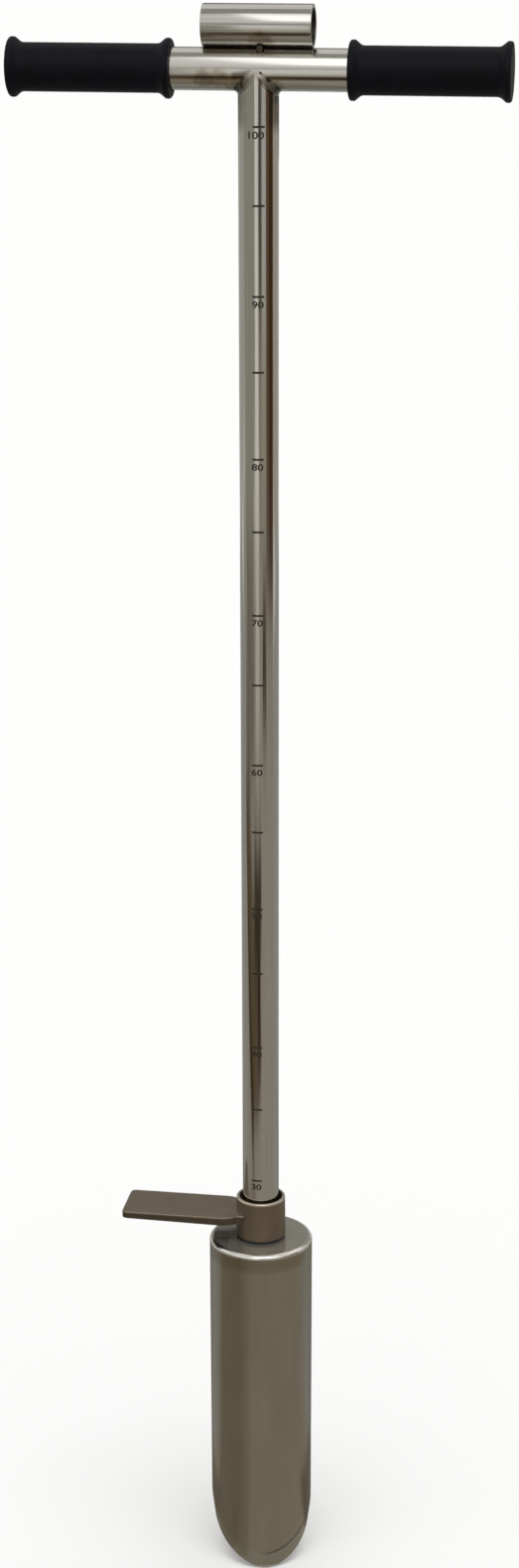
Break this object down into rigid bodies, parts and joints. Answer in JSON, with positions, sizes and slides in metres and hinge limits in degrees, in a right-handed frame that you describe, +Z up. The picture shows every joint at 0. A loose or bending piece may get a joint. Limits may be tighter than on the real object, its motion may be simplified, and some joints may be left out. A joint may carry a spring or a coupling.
{
  "type": "soil sampler probe",
  "caption": "Hand-pushed soil sampler: T handle with rubber grips and a strike tube, graduated tube shaft, swivelling foot pedal, and a half-open barrel with a ground, rounded cutting tip.",
  "frame": {"origin": "on the shaft's axis, level with the lowest point of the cutting tip", "axes": "+Z up along the shaft, +X along the handle bar towards the right grip, -Y is the front, which the depth scale and the cutting tip face to within 15 degrees"},
  "size_m": [0.306, 0.0722, 1.0697],
  "materials": {
    "tube_steel": "polished drawn stainless tube",
    "head_steel": "satin stainless, ground lengthwise",
    "weld_steel": "weld bead with heat tint",
    "grip_rubber": "moulded black rubber, matte",
    "bush_nylon": "black nylon, turned",
    "pedal_casting": "investment casting, grit-blasted"
  },
  "bodies": {
    "probe": {"handle_bar": "tube_steel", "strike_tube": "tube_steel", "strike_tube_tacks": "weld_steel", "grip_left": "grip_rubber", "grip_right": "grip_rubber", "shaft_tube": "tube_steel", "handle_weld": "weld_steel", "head_cap": "head_steel", "cap_seam": "weld_steel", "shaft_weld": "weld_steel", "shaft_plug": "tube_steel", "barrel": "head_steel"},
    "bush": {"pedal_bush": "bush_nylon"},
    "pedal": {"foot_pedal": "pedal_casting"}
  },
  "joints": [
    {"name": "pedal_slide", "type": "slide", "parent": "probe", "child": "bush", "axis": [0, 0, 1], "range_m": [0, 0.73]},
    {"name": "pedal_swivel", "type": "hinge", "parent": "bush", "child": "pedal", "pos_m": [0, 0, 0.2546], "axis": [0, 0, 1], "continuous": true}
  ]
}
